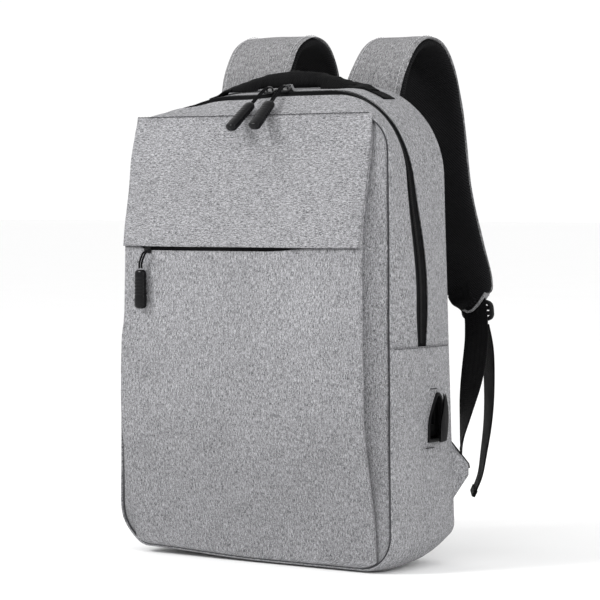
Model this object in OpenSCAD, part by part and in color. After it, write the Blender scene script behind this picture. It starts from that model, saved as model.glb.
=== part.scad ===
// Laptop backpack with a front pocket and a side charging port.
// X points to the right as the front is seen, Y points back to the straps, Z is up.
// The origin is on the floor, under the middle of the main compartment.

/* [Body] */
// Height of the top edge at the back panel
body_h = 436; // [400:1:470]
// Height of the main zip over the middle of the top
zip_h = 430; // [396:1:460]
// Height of the top seam of the front face
front_h = 408; // [380:1:430]
// Half of the width of the front face at the floor
front_half_w = 152; // [140:1:160]
// Half of the width at the back panel
back_half_w = 150; // [140:1:158]
// Distance from the origin forward to the front piping
front_y = 38; // [30:1:46]
// Distance from the origin back to the back panel at the floor
back_y = 68; // [62:1:76]
// How far the back panel leans forward between floor and top
back_lean = 20; // [10:1:26]
// Height of the side seam, where the main zip ends and the front folds
seam_z = 200; // [180:1:220]
// Thickness of a padded panel
panel_t = 3; // [2:0.5:4]

/* [Front pocket] */
// How far the full pocket stands proud of the front piping
pocket_depth = 22; // [14:1:28]
// Height of the pocket zip
pocket_zip_z = 292; // [270:1:300]
// Half of the length of the pocket zip
pocket_zip_half = 108; // [95:1:112]
// Half of the width between the pocket's fold edges
fold_half_w = 133; // [126:1:138]

/* [Charging port] */
// Height of the middle of the port
port_z = 135; // [125:1:160]
// Distance of the port behind the origin
port_y = 32; // [28:1:36]

/* [Straps] */
// Width of a shoulder strap
strap_w = 68; // [56:1:72]
// Thickness of the strap's foam and cover
strap_t = 8; // [7:1:10]
// Width of the webbing
webbing_w = 25; // [20:1:26]
// Length of the rubber grip of a zip pull
grip_l = 36; // [30:1:40]

/* [Hidden] */

GREY = "#a9abad";
BLACK = "#1c1c1e";
LINING = "#4a4c50";

gap = 0.3;          // clearance between pieces that move against each other
seam_gap = 0.2;     // clearance between pieces sewn to each other
lining_t = 1.6;     // thickness of an unpadded panel
pipe_r = 1.6;       // radius of the piping
pipe_in = 3.6;      // inset of what lies inside the piping
tape_t = 1.2;       // thickness of the zip tape
face_y = -front_y - 2.4;    // outer face of an empty front pocket

// ---- curves and vectors ----

function unit(v) = v / norm(v);
function mix(a, b, t) = a + (b - a) * t;
function clamp01(t) = min(1, max(0, t));
function ease(t) = let (c = clamp01(t)) c * c * (3 - 2 * c);
function reversed(a) = [for (i = [len(a) - 1:-1:0]) a[i]];
function tail(a) = [for (i = [1:len(a) - 1]) a[i]];
function arc(cx, cz, r, a0, a1, n) =
    [for (i = [0:n]) let (a = mix(a0, a1, i / n)) [cx + r * cos(a), cz + r * sin(a)]];
function line(a, b, n) = [for (i = [0:n]) mix(a, b, i / n)];

// Catmull-Rom curve through hand-placed points, n steps to each stretch
function spline_at(p, i, t) =
    let (a = p[max(0, i - 1)], b = p[i], c = p[i + 1], d = p[min(len(p) - 1, i + 2)])
    0.5 * ((2 * b) + (c - a) * t + (2 * a - 5 * b + 4 * c - d) * t * t
        + (3 * b - a - 3 * c + d) * t * t * t);
function spline(p, n) = concat(
    [for (i = [0:len(p) - 2]) for (k = [0:n - 1]) spline_at(p, i, k / n)], [p[len(p) - 1]]);

// ---- the bag's rings ----
// depth 0 is the front piping, 1 the main zip and 2 the edge of the back panel.

// [half width low, half width high, bottom, top, low radius, high radius]
RING_FRONT = [front_half_w, front_half_w - 3, 1.5, front_h, 32, 34];
RING_ZIP = [front_half_w, front_half_w - 3, 0, zip_h, 28, 82];
RING_BACK = [back_half_w, back_half_w - 3, 14, body_h, 22, 84];

function zip_y(z) = mix(10.5, -12, ease((z - seam_z - 38) / (zip_h - seam_z - 75)));
function back_y_at(z) = back_y - back_lean * z / body_h;
function depth_y(k, z) =
    k < 1 ? mix(-front_y, zip_y(z), k) : mix(zip_y(z), back_y_at(z), k - 1);
function floor_z(k) =
    k < 0.3 ? 1.5 * (1 - k / 0.3) : k < 1.8 ? 0 : 14 * pow((k - 1.8) / 0.2, 1.5);
function ring(k) =
    let (r = k < 1 ? mix(RING_FRONT, RING_ZIP, k) : mix(RING_ZIP, RING_BACK, k - 1))
    let (swell = 1.5 * sin(180 * (k < 1 ? k : k - 1)))
    [r[0] + swell, r[1] + swell, floor_z(k), r[3], r[4], r[5]];
function side_x(r, z) = mix(r[0], r[1], clamp01((z - r[2] - r[4]) / (r[3] - r[5] - r[2] - r[4])));

// right half of a ring, from the middle of the bottom to the side seam, then to the top
function bottom_run(r) = concat(line([0, r[2]], [r[0] - r[4], r[2]], 3),
    tail(arc(r[0] - r[4], r[2] + r[4], r[4], -90, -46.6, 3)));
function side_run(r) = concat(arc(r[0] - r[4], r[2] + r[4], r[4], -45, 0, 3),
    tail(line([r[0], r[2] + r[4]], [side_x(r, seam_z), seam_z], 4)));
function top_run(r) = concat(line([side_x(r, seam_z), seam_z], [r[1], r[3] - r[5]], 5),
    tail(arc(r[1] - r[5], r[3] - r[5], r[5], 0, 90, 8)),
    tail(line([r[1] - r[5], r[3]], [0, r[3]], 3)));
function mirrored(p) = [for (q = p) [-q[0], q[1]]];
function over_top(r) = concat(top_run(r), tail(mirrored(reversed(top_run(r)))));
function under_floor(r) = concat(mirrored(reversed(bottom_run(r))), tail(bottom_run(r)));
function to_depth(p, k) = [for (q = p) [q[0], depth_y(k, q[1]), q[1]]];

// point j of the way over the top at depth k
OVER = [0:len(over_top(ring(1))) - 1];
function over_at(j, k) = to_depth([over_top(ring(k))[j]], k)[0];
// half width of the zip band: broad down the sides and narrow over the top
function zip_w(z) = 5.5 + 4.5 * ease((390 - z) / 110) - 2.5 * ease((230 - z) / 30);
// depth at which the band ends in front of (-1) or behind (1) the zip at point j, plus `more`
function band_edge(j, side, more) =
    let (z = over_top(ring(1))[j][1], room = (side < 0 ? -front_y : back_y_at(z)) - zip_y(z))
    1 + side * (zip_w(z) + more) / abs(room);

// half width of the front piping's inner edge, and of the front face, at a height
function corner_w(r, inset, z) =
    let (lo = r[2] + r[4], hi = r[3] - r[5])
    z < lo ? r[0] - r[4] + sqrt(max(0, pow(r[4] - inset, 2) - pow(lo - z, 2)))
    : z > hi ? r[1] - r[5] + sqrt(max(0, pow(r[5] - inset, 2) - pow(z - hi, 2)))
    : mix(r[0], r[1], (z - lo) / (hi - lo)) - inset;
function flap_w(z) = mix(fold_half_w + 3, fold_half_w - 2, z / front_h);
function fold_w(z) = min(flap_w(z), corner_w(RING_FRONT, pipe_in, z));
function swell_at(z) = pocket_depth * (z > 290 ? ease((front_h - 4 - z) / 116)
    : z > 150 ? 1 : mix(0.02, 1, ease((z - 2) / 150)));
function face_y_at(x, z) = face_y - swell_at(z) * (1 - 0.04 * pow(x / fold_half_w, 2));

// ---- solids from a grid of points ----
// A grid is rows of points. Its outward side is row direction x column direction.

function grid_normal(g, i, j) =
    let (m = len(g) - 1, n = len(g[0]) - 1)
    let (a = g[min(m, i + 1)][j] - g[max(0, i - 1)][j])
    let (b = g[i][min(n, j + 1)] - g[i][max(0, j - 1)])
    unit(cross(a, b));
function sunk(g, d) = [for (i = [0:len(g) - 1]) for (j = [0:len(g[0]) - 1])
    g[i][j] - d * grid_normal(g, i, j)];

function triangles(quads) = [for (f = quads) for (k = [1, 2]) [f[0], f[k], f[k + 1]]];

// closed sheet that starts `below` under the grid and is t thick
module sheet(g, t, below = 0) {
    m = len(g) - 1;
    n = len(g[0]) - 1;
    w = n + 1;
    s = (m + 1) * w;
    outer = [for (i = [0:m - 1]) for (j = [0:n - 1])
        [i * w + j, i * w + j + 1, (i + 1) * w + j + 1, (i + 1) * w + j]];
    inner = [for (f = outer) [for (k = [3, 2, 1, 0]) f[k] + s]];
    ends = [for (j = [0:n - 1]) for (e = [[0, j + 1, j], [m * w, j, j + 1]])
        [e[0] + e[1], e[0] + e[2], e[0] + e[2] + s, e[0] + e[1] + s]];
    sides = [for (i = [0:m - 1]) for (e = [[i, i + 1, 0], [i + 1, i, n]])
        [e[0] * w + e[2], e[1] * w + e[2], e[1] * w + e[2] + s, e[0] * w + e[2] + s]];
    faces = concat(outer, inner, ends, sides);
    polyhedron(concat(sunk(g, below), sunk(g, below + t)), triangles(faces));
}

// closed tube of radius r round a path, with flat ends
module tube(path, r, sides = 6) {
    m = len(path) - 1;
    pts = [for (i = [0:m])
        let (t = unit(path[min(m, i + 1)] - path[max(0, i - 1)]))
        let (u = unit(cross(t, abs(t[1]) < 0.9 ? [0, 1, 0] : [1, 0, 0])), v = cross(t, u))
        for (k = [0:sides - 1]) path[i] + r * (u * cos(360 * k / sides) + v * sin(360 * k / sides))];
    skin = [for (i = [0:m - 1]) for (k = [0:sides - 1]) let (q = (k + 1) % sides)
        [i * sides + q, i * sides + k, (i + 1) * sides + k, (i + 1) * sides + q]];
    first = [for (k = [0:sides - 1]) k];
    last = [for (k = [sides - 1:-1:0]) m * sides + k];
    polyhedron(pts, concat(triangles(skin), [first, last]));
}

// grid of a ribbon whose width turns from direction a to direction b along the path
function ribbon(path, w, a, b) = [for (i = [0:len(path) - 1])
    let (d = unit(mix(a, b, ease(i / (len(path) - 1)))) * w / 2) [path[i] - d, path[i] + d]];

// upright face between its two edges: p lists [half width, height], facing +Y or -Y
function face(p, cols, back) = [for (q = p) [for (k = [0:cols])
    [q[0] * (back ? 2 * k / cols - 1 : 1 - 2 * k / cols), 0, q[1]]]];
function inset_heights(r, lo, hi, inset) = let (n = 14) [for (i = [0:n])
    let (z = mix(lo, hi, 0.5 - 0.5 * cos(180 * i / n))) [corner_w(r, inset, z), z]];

function rounded(w, h, r, n = 5) = [for (q = [[1, 1, 0], [-1, 1, 90], [-1, -1, 180], [1, -1, 270]])
    for (i = [0:n]) let (a = q[2] + 90 * i / n)
    [q[0] * (w / 2 - r) + r * cos(a), q[1] * (h / 2 - r) + r * sin(a)]];

// ---- main compartment, back half ----

module back_panel() {
    r = RING_BACK;
    p = inset_heights(r, r[2] + panel_t + 1, body_h - panel_t - 1, panel_t + 0.5);
    g = [for (row = face(p, 4, true)) [for (q = row) [q[0], back_y_at(q[2]) - 0.2, q[2]]]];
    color(GREY) sheet(g, panel_t);
}

// soft pads stand on the outside of the back panel
module back_pad(side) {
    pad_w = 108;
    zs = [150, 164, 280, 392, 404];
    g = [for (i = [0:4]) [for (k = [0:4])
        let (x = side * 66 + (k - 2) / 4 * (i % 4 == 0 ? pad_w - 20 : pad_w))
        [x, back_y_at(zs[i]) + (i % 4 == 0 || k % 4 == 0 ? 5 : 9), zs[i]]]];
    color(BLACK) sheet(g, 4);
}
module back_pad_left() { back_pad(-1); }
module back_pad_right() { back_pad(1); }

module lumbar_pad() {
    zs = [34, 46, 86, 126, 138];
    g = [for (i = [0:4]) [for (k = [0:4])
        let (x = (k - 2) / 4 * (i % 4 == 0 ? 210 : 232))
        [x, back_y_at(zs[i]) + (i % 4 == 0 || k % 4 == 0 ? 5 : 10), zs[i]]]];
    color(BLACK) sheet(g, 4);
}

module rear_gusset() {
    g = [for (t = [0, 0.3, 0.6, 0.8, 1]) [for (j = OVER)
        over_at(j, mix(band_edge(j, 1, seam_gap), 2, t))]];
    color(GREY) sheet(g, panel_t);
}

module side_panel(side) {
    ks = [0, 0.3, 1, 1.4, 1.8, 1.9, 2];
    g = [for (i = [0:6]) [for (q = side_run(ring(ks[i])))
        [q[0], depth_y(ks[i], q[1]), min(q[1], seam_z - seam_gap)]]];
    h = [for (row = g) side > 0 ? row : reversed([for (q = row) [-q[0], q[1], q[2]]])];
    color(GREY) sheet(h, panel_t);
}
module side_panel_left() { side_panel(-1); }
module side_panel_right() {
    difference() {
        side_panel(1);
        translate([front_half_w - 12, port_y - 12, port_z - 20]) cube([24, 24, 40]);
    }
}

module bottom_panel() {
    ks = [0, 0.3, 1, 1.4, 1.8, 1.9, 2];
    g = [for (k = ks) to_depth(under_floor(ring(k)), k)];
    color(GREY) sheet(g, panel_t);
}

// ---- front pocket and its folds ----

module front_wall(lo, hi) {
    p = inset_heights(RING_FRONT, lo, hi, pipe_in + 0.4);
    g = [for (row = face(p, 4, false)) [for (q = row) [q[0], 0.8 - front_y, q[2]]]];
    color(LINING) sheet(g, lining_t);
}
module front_wall_lower() { front_wall(7, seam_z - gap / 2); }
module front_wall_upper() { front_wall(seam_z + gap / 2, front_h - 5); }

// front face through [half width, height] points, standing `proud` of the pocket surface
module front_face(p, proud = 0) {
    g = [for (q = p) [for (k = [0:6])
        let (x = q[0] * (1 - k / 3)) [x, face_y_at(x, q[1]) - proud, q[1]]]];
    color(GREY) sheet(g, lining_t);
}
function fold_points(lo, hi, rows) =
    [for (i = [0:rows]) let (z = mix(lo, hi, i / rows)) [fold_w(z), z]];
module pocket_panel_lower() { front_face(fold_points(7, seam_z - gap / 2, 14)); }
module pocket_panel_upper() { front_face(fold_points(seam_z + gap / 2, pocket_zip_z - 4, 5)); }
// the flap passes in front of the piping at its top corners
module flap_panel() {
    front_face([for (z = line(pocket_zip_z - 3, front_h - 0.6, 12)) [flap_w(z), z]], 2.8);
}

module pocket_zip_tape() {
    g = [for (z = [pocket_zip_z - 3.5, pocket_zip_z + 9]) [for (k = [0:4])
        let (x = (pocket_zip_half + 8) * (1 - k / 2)) [x, face_y_at(x, z) + lining_t + 0.2, z]]];
    color(BLACK) sheet(g, tape_t);
}

// V-shaped side fold of the pocket, from the fold edge back to the piping
module pleat(side, lo, hi) {
    rows = 10;
    g = [for (c = [0:2]) [for (i = [0:rows])
        let (z = mix(lo, hi, i / rows), f = fold_w(z) - 0.8, s = swell_at(z))
        let (p = max(f + 0.8, corner_w(RING_FRONT, pipe_in + 0.2, z)))
        let (x = [f, f - 0.3 * s, p][c], y = [2.6 - 0.96 * s, 2.4 - 0.6 * s, 1.5][c])
        [side * x, face_y + y, z]]];
    color(GREY) sheet(side > 0 ? g : reversed(g), 1.2);
}
module pleat_lower_left() { pleat(-1, 12, seam_z - gap / 2); }
module pleat_lower_right() { pleat(1, 12, seam_z - gap / 2); }
module pleat_upper_left() { pleat(-1, seam_z + gap / 2, front_h - 16); }
module pleat_upper_right() { pleat(1, seam_z + gap / 2, front_h - 16); }

// a ring drawn in by d on every side
function shrunk(r, d) = [r[0] - d, r[1] - d, r[2] + d, r[3] - d, r[4] - d, r[5] - d];
// piping from the side seam round `half`, which ends at the middle, to the other side seam
module front_piping(half, start_z) {
    r = shrunk(ring(0), pipe_r);
    right = concat([[side_x(r, seam_z), start_z]], tail(half));
    p = concat(right, tail(mirrored(reversed(right))));
    color(GREY) tube([for (q = p) [q[0], -front_y - pipe_r - 0.1, q[1]]], pipe_r);
}
module front_piping_lower() {
    r = shrunk(ring(0), pipe_r);
    front_piping(reversed(concat(bottom_run(r), tail(side_run(r)))), seam_z - gap / 2);
}
module front_piping_upper() {
    front_piping(top_run(shrunk(ring(0), pipe_r)), seam_z + gap / 2);
}
module back_piping() {
    r = shrunk(ring(2), pipe_r);
    half = concat(bottom_run(r), tail(side_run(r)), tail(top_run(r)));
    for (s = [-1, 1]) color(GREY)
        tube([for (q = half) [s * (q[0] + 0.1), back_y_at(q[1]) + pipe_r + 0.1, q[1]]], pipe_r);
}

// ---- main zip ----

// one half of the zip: level beside its middle, then on to its sewn edge in front (-1) or
// behind (1). `spread` sets its inner edge off at the zip's two ends, so that the halves part
// freely as the lid opens
module zip_tape(side, spread) {
    level = [for (d = [gap / 2, 2.6]) [for (j = OVER)
        let (p = over_at(j, 1), low = clamp01((seam_z + 30 - p[2]) / 20))
        p + [0, side * (d + spread * low), 0]]];
    edge = [for (j = OVER) over_at(j, band_edge(j, side, 0))];
    color(BLACK) sheet(side > 0 ? [level[0], level[1], edge] : [edge, level[1], level[0]],
        tape_t, 0.6);
}
module zip_tape_rear() { zip_tape(1, 0); }
module zip_tape_front() { zip_tape(-1, 1.5); }

module front_gusset() {
    g = [for (t = [0, 0.5, 1]) [for (j = OVER)
        let (p = over_at(j, t * band_edge(j, -1, 0.9)))
        [p[0], p[1], max(p[2], seam_z + gap / 2)]]];
    color(GREY) sheet(g, panel_t);
}

// ---- inside the bag ----

sleeve_gap = 16;    // room for a laptop between the sleeve and the back panel
module laptop_sleeve() {
    g = [for (z = [9, 60, 150, 240, 290]) [for (k = [0:4])
        let (x = (z == 290 ? 118 : 128) * (1 - k / 2))
        [x, back_y_at(z) - panel_t - sleeve_gap - 3, z]]];
    color(LINING) sheet(g, 3);
}

module sleeve_strap() {
    path = spline([[0, 47, 332], [0, 41, 318], [0, 30, 304], [0, 28.5, 290], [0, 28.7, 262]], 3);
    color(BLACK) sheet(ribbon(path, 30, [1, 0, 0], [1, 0, 0]), 1.5);
}

module power_bank_pocket() {
    x0 = front_half_w - panel_t - 4;
    g = [for (q = [[0, -18], [-9, -14], [-12, -4], [-12, 14], [-9, 24], [0, 28]])
        [for (z = [108, 70, 34]) [x0 + q[0], q[1], z]]];
    color(LINING) sheet(g, 1);
}

module inner_organiser() {
    g = [for (z = [70, 125, 180]) [for (x = [95, 0, -95]) [x, face_y + lining_t - 1.4, z]]];
    color(LINING) sheet(g, 1);
}

// ---- charging port, on the right side panel ----

port_x = front_half_w;    // outer face of the side panel at the port
module across(x, t) { translate([x, port_y, port_z]) rotate([90, 0, 90]) linear_extrude(t) children(); }

module usb_bezel() {
    color(BLACK) difference() {
        union() {
            across(port_x, 2) polygon(rounded(28, 46, 12));
            across(port_x - 7, 7.5) polygon(rounded(23.4, 39.4, 9));
        }
        across(port_x - 8, 11) polygon(rounded(19, 34, 7));
    }
}

module usb_socket() {
    socket_w = 13.1;
    socket_h = 5.7;
    color("#2b2b2e") difference() {
        across(port_x - 20, 16) polygon(rounded(18.6, 33.6, 6.8));
        across(port_x - 14, 12) square([socket_h, socket_w], center = true);
    }
    color("silver") across(port_x - 14, 8) translate([-0.6, 0]) square([1.6, 11.4], center = true);
}

flap_angle = 14;    // how far the rubber flap stands open as it is left
hinge_y = port_y + 15;
module usb_flap() {
    color(BLACK) translate([port_x + 3.6, hinge_y, port_z]) rotate([0, 0, flap_angle]) {
        cylinder(h = 30, r = 1.2, center = true, $fn = 24);
        translate([-1.2, -15, 0]) rotate([90, 0, 90]) linear_extrude(2) polygon(rounded(28, 46, 12));
    }
}

// ---- harness on the back ----

// centre line of the right strap's outer face, from the seam at the top of the back panel
STRAP_ROUTE = [
    [67, 53.5, 420], [67, 55, 432], [67, 62, 454], [68, 78, 476], [69, 100, 486], [71, 124, 479],
    [72, 142, 455], [73, 151, 425], [74, 156, 390], [78, 159, 345], [87, 160, 295],
    [100, 159, 256], [110, 158, 233]
];
strap_path = spline(STRAP_ROUTE, 2);
function strap_half(i) =
    let (n = len(strap_path) - 1, s = i / n)
    s < 0.8 ? strap_w / 2 : mix(15, strap_w / 2, sqrt(1 - pow((s - 0.8) / 0.2, 2)));
function strap_grid(side) = [for (i = [0:len(strap_path) - 1])
    let (p = strap_path[i], h = strap_half(i))
    [for (k = [0:4]) [side * p[0] + (1 - k / 2) * h, p[1], p[2]]]];

module strap_yoke() {
    zs = [407, 416, 425];
    g = [for (z = zs) [for (k = [0:4]) [(k - 2) * 45, back_y_at(z) + 2.4, z]]];
    color(GREY) sheet(g, 2);
}

module strap_pad(side) { color(GREY) sheet(strap_grid(side), strap_t - 0.4); }
module strap_mesh(side) { color(BLACK) sheet(strap_grid(side), 3, strap_t - 0.1); }
module strap_pad_left() { strap_pad(-1); }
module strap_pad_right() { strap_pad(1); }
module strap_mesh_left() { strap_mesh(-1); }
module strap_mesh_right() { strap_mesh(1); }

lock_at = [121, 154, 214];
lock_tilt = 12;
module ladder_lock(side) {
    color(BLACK) translate([side * lock_at[0], lock_at[1], lock_at[2]])
    rotate([90 + lock_tilt, side * 10, 0]) linear_extrude(4, center = true) difference() {
        polygon(rounded(36, 28, 4));
        for (y = [-7, 7]) translate([0, y]) square([27, 3.8], center = true);
    }
}
module ladder_lock_left() { ladder_lock(-1); }
module ladder_lock_right() { ladder_lock(1); }

// webbing loop from the strap's lower end to the top bar of the ladder lock
LOOP_ROUTE = [[107, 142.6, 246], [112, 142.2, 238], [117, 145, 231.5]];
module strap_loop(side) {
    path = [for (p = spline(LOOP_ROUTE, 3)) [side * p[0], p[1], p[2]]];
    slope = [1, 0, -0.2 * side];
    color(BLACK) sheet(ribbon(path, webbing_w, slope, slope), 1.6);
}
module strap_loop_left() { strap_loop(-1); }
module strap_loop_right() { strap_loop(1); }

tab_tip = [158, 85, 80];
module gusset_tab(side) {
    root = [back_half_w + 0.4, back_y_at(80) + 4, 0];
    corners = [root + [0, 0, 50], root + [0, 0, 108], tab_tip + [0, 0, 11], tab_tip - [0, 0, 11]];
    p = [for (q = corners) [side * q[0], q[1], q[2]]];
    g = side > 0 ? [[p[0], p[1]], [p[3], p[2]]] : [[p[1], p[0]], [p[2], p[3]]];
    color(GREY) sheet(g, 3);
}
module gusset_tab_left() { gusset_tab(-1); }
module gusset_tab_right() { gusset_tab(1); }

LOWER_ROUTE = [[154, 80, 104], [150, 91, 124], [142, 109, 152], [134, 129, 178], [125, 147, 198]];
module lower_webbing(side) {
    path = [for (p = spline(LOWER_ROUTE, 3)) [side * p[0], p[1], p[2]]];
    color(BLACK) sheet(ribbon(path, webbing_w, [0, -0.45 * side, side], [1, 0, 0]), 1.6);
}
module lower_webbing_left() { lower_webbing(-1); }
module lower_webbing_right() { lower_webbing(1); }

TAIL_ROUTE = [
    [125, 165.8, 207], [130, 168.5, 188], [132, 167, 150], [129, 166, 120], [125, 164, 92],
    [122, 162, 70], [115, 160, 52]
];
module webbing_tail(side) {
    path = [for (p = spline(TAIL_ROUTE, 3)) [side * p[0], p[1], p[2]]];
    color(BLACK) sheet(ribbon(path, webbing_w, [0.9, -0.44 * side, 0], [0.62, -0.78 * side, 0]), 1.6);
}
module webbing_tail_left() { webbing_tail(-1); }
module webbing_tail_right() { webbing_tail(1); }

// ---- carry handle ----

handle_y = 22;
grip_half = 74;
grip_rise = 23.5;   // from the zip up to the grip's upper edge, at its middle
// the padded grip leans forward at its middle and lies flat at its ends
module handle_grip() {
    n = 12;
    g = [for (i = [0:n]) let (u = pow(2 * i / n - 1, 2), lean = 34 * (1 - u), w = 11.5 - 3 * u * u)
        [for (k = [0:4]) let (c = (k - 2) / 2, d = w * c, drop = 2 * c * c)
            [mix(-grip_half, grip_half, i / n), handle_y + d * cos(lean) + drop * sin(lean),
                zip_h + grip_rise - 10 * u + (d - w) * sin(lean) - drop * cos(lean)]]];
    color(BLACK) sheet(g, 6.5);
}
module handle_core() {
    for (s = [-1, 1]) {
        path = [for (q = [[grip_half + 1.4, 10.5], [80, 8.2], [86, 4.6], [91, 3.6]])
            [s * q[0], handle_y, zip_h + q[1]]];
        color(BLACK) sheet(ribbon(path, 16, [0, s, 0], [0, s, 0]), 2);
    }
}
// stitched patches on the rear gusset that hold the handle's ends
module handle_anchors() {
    r = ring(1.5);
    for (s = [-1, 1]) {
        g = [for (y = [handle_y - 11, handle_y + 11]) [for (a = [71, 67, 63, 59])
            [s * (r[1] - r[5] + (r[5] + 2.8) * cos(a)), y, r[3] - r[5] + (r[5] + 2.8) * sin(a)]]];
        color(BLACK) sheet(s > 0 ? reversed(g) : g, 1.6);
    }
}

// ---- zip sliders and pulls ----

pull_drop = 15;     // from the pocket slider down to its grip

// slider body with its bridge, over the teeth at the origin, running along X
module slider() {
    color(BLACK) {
        translate([-5, -4.4, 0.4]) cube([10, 8.8, 2.2]);
        for (x = [-3.4, 2.2]) translate([x, -1.2, 2.6]) cube([1.2, 2.4, 2.4]);
        translate([-3.4, -1.2, 5]) cube([6.8, 2.4, 1.2]);
    }
}

// pull that starts at the slider's bridge and runs down a path in the YZ plane
module pull_cord(route, at) {
    for (s = [-1, 1])
        color(BLACK) tube([for (p = spline(route, 3)) at + [s * 1.4, p[0], p[1]]], 0.9);
}
module pull_grip(at, tilt) {
    color(BLACK) translate(at) rotate([tilt, 0, 0]) translate([0, 0, -grip_l])
        linear_extrude(grip_l) polygon(rounded(12, 8, 3.5));
}

left_x = 0;
right_x = 17;
left_turn = -9;
right_turn = 2;
main_slider_z = zip_h + 0.3;
main_slider_y = zip_y(zip_h);
MAIN_CORD = [[-4.3, 4.4], [-7.6, 3], [-15, -2.8], [-24.2, -10.1]];
MAIN_GRIP = [0, -25, -10.8];
main_tilt = -50;
// places something at a main slider, turned so that it hangs to one side
module at_slider(x, turn = 0) {
    translate([x, main_slider_y, main_slider_z]) rotate([0, 0, turn]) children();
}
module slider_left() { at_slider(left_x) rotate([20, 0, 0]) slider(); }
module slider_right() { at_slider(right_x) rotate([20, 0, 0]) slider(); }
module pull_cord_left() { at_slider(left_x, left_turn) pull_cord(MAIN_CORD, [0, 0, 0]); }
module pull_cord_right() { at_slider(right_x, right_turn) pull_cord(MAIN_CORD, [0, 0, 0]); }
module pull_grip_left() { at_slider(left_x, left_turn) pull_grip(MAIN_GRIP, main_tilt); }
module pull_grip_right() { at_slider(right_x, right_turn) pull_grip(MAIN_GRIP, main_tilt); }

pocket_at = [-pocket_zip_half, face_y_at(0, pocket_zip_z) - 0.4, pocket_zip_z - 8];
module slider_pocket() { translate(pocket_at) rotate([90, 0, 0]) slider(); }
module pull_cord_pocket() {
    pull_cord([[-5.6, -2.5], [-6, -6], [-5.4, -11], [-5, -pull_drop]], pocket_at);
}
module pull_grip_pocket() { pull_grip(pocket_at + [0, -5, -pull_drop - 0.4], 0); }

back_panel();
back_pad_left();
back_pad_right();
lumbar_pad();
rear_gusset();
side_panel_left();
side_panel_right();
bottom_panel();
front_wall_lower();
pocket_panel_lower();
pleat_lower_left();
pleat_lower_right();
front_piping_lower();
back_piping();
zip_tape_rear();
laptop_sleeve();
sleeve_strap();
power_bank_pocket();
inner_organiser();
usb_bezel();
usb_socket();
strap_yoke();
gusset_tab_left();
gusset_tab_right();
lower_webbing_left();
lower_webbing_right();
front_wall_upper();
front_gusset();
flap_panel();
pocket_zip_tape();
pocket_panel_upper();
pleat_upper_left();
pleat_upper_right();
front_piping_upper();
zip_tape_front();
slider_left();
pull_cord_left();
pull_grip_left();
slider_right();
pull_cord_right();
pull_grip_right();
slider_pocket();
pull_cord_pocket();
pull_grip_pocket();
usb_flap();
handle_grip();
handle_core();
handle_anchors();
strap_pad_left();
strap_mesh_left();
strap_loop_left();
ladder_lock_left();
strap_pad_right();
strap_mesh_right();
strap_loop_right();
ladder_lock_right();
webbing_tail_left();
webbing_tail_right();
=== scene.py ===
import math

import bpy
import numpy as np
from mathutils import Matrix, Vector, noise


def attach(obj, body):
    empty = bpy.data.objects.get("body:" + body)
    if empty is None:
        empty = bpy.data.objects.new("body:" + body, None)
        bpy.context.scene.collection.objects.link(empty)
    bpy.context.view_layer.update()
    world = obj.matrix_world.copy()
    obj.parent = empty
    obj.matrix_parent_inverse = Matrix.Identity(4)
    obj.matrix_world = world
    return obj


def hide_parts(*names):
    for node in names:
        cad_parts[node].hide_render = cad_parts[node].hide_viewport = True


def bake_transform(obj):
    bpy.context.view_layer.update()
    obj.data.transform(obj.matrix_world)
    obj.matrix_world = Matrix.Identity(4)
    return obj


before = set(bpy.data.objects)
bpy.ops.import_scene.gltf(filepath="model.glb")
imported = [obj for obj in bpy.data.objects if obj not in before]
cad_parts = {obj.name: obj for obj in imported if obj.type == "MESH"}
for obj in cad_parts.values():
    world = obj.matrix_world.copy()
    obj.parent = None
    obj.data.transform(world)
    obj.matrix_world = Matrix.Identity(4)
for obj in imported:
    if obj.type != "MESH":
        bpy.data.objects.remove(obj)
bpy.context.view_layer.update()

SCENE = bpy.context.scene
MM = 0.001
SIDES = ((-1, "left"), (1, "right"))

# The bag's curves, in millimetres, as the CAD source has them. X is to the
# right as the front is seen, Y is back to the straps, and Z is up.

SEAM_Z = 200
ZIP_H, FRONT_H, BODY_H = 430, 408, 436
FRONT_Y, FACE_Y = -38, -40.4
SLIT_Z = 289
# half width low, half width high, bottom, top, low radius, high radius
RING_FRONT = np.array([152, 149, 1.5, 408, 32, 34.0])
RING_ZIP = np.array([152, 149, 0, 430, 28, 82.0])
RING_BACK = np.array([150, 147, 14, 436, 22, 84.0])


def mix(a, b, t):
    return a + (b - a) * t


def ease(t):
    t = np.clip(t, 0, 1)
    return t * t * (3 - 2 * t)


def zip_y(z):
    return mix(10.5, -12, ease((z - 238) / 155))


def back_y(z):
    return 68 - 20 * z / BODY_H


def depth_y(k, z):
    if k < 1:
        return mix(FRONT_Y, zip_y(z), k)
    return mix(zip_y(z), back_y(z), k - 1)


def ring(k, inset=0.0):
    """The bag's outline at depth k: 0 is the front seam, 1 the main zip, 2 the back edge."""
    r = mix(RING_FRONT, RING_ZIP, k) if k < 1 else mix(RING_ZIP, RING_BACK, k - 1)
    swell = 1.5 * math.sin(math.pi * (k % 1)) - inset
    if k < 0.3:
        floor = 1.5 * (1 - k / 0.3)
    else:
        floor = 14 * max(0, (k - 1.3) / 0.7) ** 1.5
    return [r[0] + swell, r[1] + swell, floor + inset, r[3] - inset, r[4] - inset, r[5] - inset]


def side_x(r, z):
    low, high = r[2] + r[4], r[3] - r[5]
    return mix(r[0], r[1], np.clip((z - low) / (high - low), 0, 1))


def arc(cx, cz, r, a0, a1, n):
    a = np.radians(np.linspace(a0, a1, n + 1))
    return np.column_stack([cx + r * np.cos(a), cz + r * np.sin(a)])


def line(a, b, n):
    t = np.linspace(0, 1, n + 1)[:, None]
    return np.array(a) * (1 - t) + np.array(b) * t


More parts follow.
